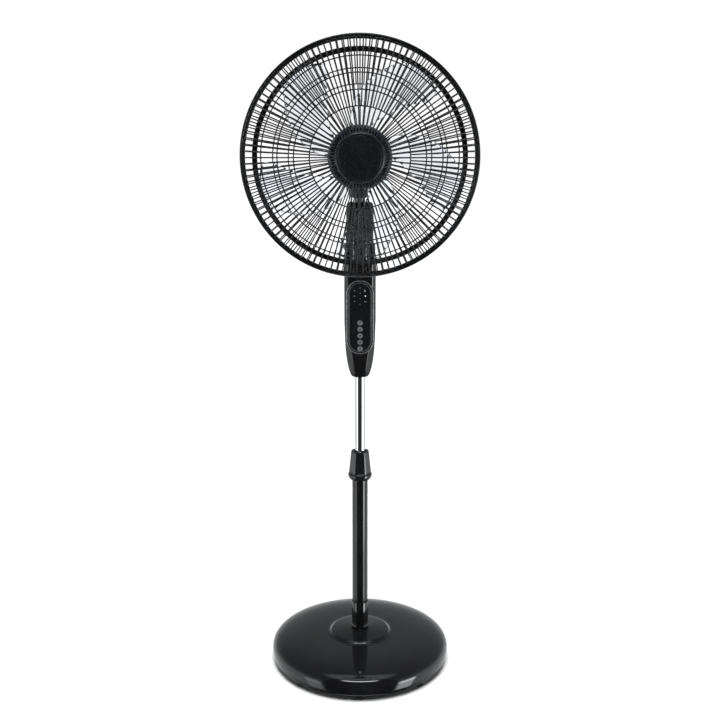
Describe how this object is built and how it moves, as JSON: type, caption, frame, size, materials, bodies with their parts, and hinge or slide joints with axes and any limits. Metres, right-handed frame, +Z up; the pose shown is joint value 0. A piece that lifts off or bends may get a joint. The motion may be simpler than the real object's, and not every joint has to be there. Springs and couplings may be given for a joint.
{
  "type": "pedestal fan",
  "caption": "Floor-standing fan with a round weighted base, telescopic pole, keypad housing, tilting and swinging head, caged swept blades.",
  "frame": {"origin": "on the floor under the pole's axis", "axes": "+Z up along the pole, -Y is the front, where the air leaves, and +X is to the right of someone who faces the front"},
  "size_m": [0.45, 0.378, 1.296],
  "materials": {
    "gloss_black": "gloss black moulded plastic",
    "satin_black": "satin black moulded plastic",
    "black_paint": "satin black paint on steel",
    "wire_black": "black powder coat on steel wire",
    "smoke_blue": "translucent smoke blue plastic",
    "chrome": "bright chrome plate",
    "silver": "satin silver",
    "steel": "plain steel",
    "cast_iron": "rough cast iron",
    "copper": null,
    "rubber": "soft black rubber",
    "nylon": "natural nylon",
    "board_green": "circuit board laminate",
    "light_guide": "translucent light guide",
    "die_cast": "plain die-cast aluminium"
  },
  "bodies": {
    "stand": {"base_cover": "gloss_black", "base_weight": "cast_iron", "base_plate": "satin_black", "rubber_foot_1": "rubber", "rubber_foot_2": "rubber", "rubber_foot_3": "rubber", "rubber_foot_4": "rubber", "rubber_foot_5": "rubber", "rubber_foot_6": "rubber", "rubber_foot_7": "rubber", "rubber_foot_8": "rubber", "pole_socket": "gloss_black", "outer_tube": "black_paint", "tube_foot_plug": "nylon", "pole_bolt": "steel", "tube_bush": "nylon", "collet": "nylon"},
    "collar": {"height_collar": "satin_black"},
    "mast": {"inner_tube": "chrome", "tube_end_stop": "nylon", "control_housing_front": "gloss_black", "control_housing_rear": "gloss_black", "tilt_bracket": "satin_black", "panel_bezel": "gloss_black", "panel_plate": "gloss_black", "control_board": "board_green", "indicator_light_guide": "light_guide", "housing_screw": "steel", "cord_gland": "rubber"},
    "button_1_body": {"button_1": "silver"},
    "button_2_body": {"button_2": "silver"},
    "button_3_body": {"button_3": "silver"},
    "button_4_body": {"button_4": "silver"},
    "button_5_body": {"button_5": "silver"},
    "neck": {"neck_housing": "satin_black", "motor_lead": "rubber", "swing_post": "steel", "swing_gear": "nylon", "tilt_bolt": "steel", "tilt_nut": "steel"},
    "head": {"motor_housing": "satin_black", "motor_rear_cover": "satin_black", "motor_front_plate": "die_cast", "stator_core": "steel", "front_winding": "copper", "rear_winding": "copper", "motor_end_shield": "die_cast", "front_bearing": "steel", "rear_bearing": "steel", "swing_motor": "steel", "rear_guard": "wire_black", "rear_guard_nut": "satin_black", "guard_hoop": "satin_black", "front_guard": "wire_black", "front_cap": "gloss_black"},
    "rotor": {"motor_shaft": "steel", "rotor_core": "steel", "fan_blade": "smoke_blue", "blade_nut": "satin_black"},
    "pinion": {"swing_pinion": "nylon"}
  },
  "joints": [
    {"name": "collar_turn", "type": "hinge", "parent": "stand", "child": "collar", "pos_m": [0, 0, 0.433], "axis": [0, 0, 1], "range_deg": [0, 120]},
    {"name": "height_slide", "type": "slide", "parent": "stand", "child": "mast", "axis": [0, 0, 1], "range_m": [-0.15, 0.06]},
    {"name": "button_1_press", "type": "slide", "parent": "mast", "child": "button_1_body", "axis": [0, 1, 0], "range_m": [0, 0.0012], "stiffness_N_per_m": 700, "springref_m": -0.0008},
    {"name": "button_2_press", "type": "slide", "parent": "mast", "child": "button_2_body", "axis": [0, 1, 0], "range_m": [0, 0.0012], "stiffness_N_per_m": 700, "springref_m": -0.0008},
    {"name": "button_3_press", "type": "slide", "parent": "mast", "child": "button_3_body", "axis": [0, 1, 0], "range_m": [0, 0.0012], "stiffness_N_per_m": 700, "springref_m": -0.0008},
    {"name": "button_4_press", "type": "slide", "parent": "mast", "child": "button_4_body", "axis": [0, 1, 0], "range_m": [0, 0.0012], "stiffness_N_per_m": 700, "springref_m": -0.0008},
    {"name": "button_5_press", "type": "slide", "parent": "mast", "child": "button_5_body", "axis": [0, 1, 0], "range_m": [0, 0.0012], "stiffness_N_per_m": 700, "springref_m": -0.0008},
    {"name": "head_tilt", "type": "hinge", "parent": "mast", "child": "neck", "pos_m": [0, 0, 0.893], "axis": [1, 0, 0], "range_deg": [-20, 10]},
    {"name": "head_swing", "type": "hinge", "parent": "neck", "child": "head", "pos_m": [0, 0, 0.9875], "axis": [0, 0, 1], "range_deg": [-40, 40]},
    {"name": "blade_spin", "type": "hinge", "parent": "head", "child": "rotor", "pos_m": [0, -0.12, 1.071], "axis": [0, -1, 0], "continuous": true},
    {"name": "pinion_turn", "type": "hinge", "parent": "head", "child": "pinion", "pos_m": [0, 0.02297, 1.01525], "axis": [0, 0, 1], "range_deg": [-125, 125]}
  ],
  "couplings": [
    {"joint": "pinion_turn", "follows": "head_swing", "ratio": 3}
  ]
}
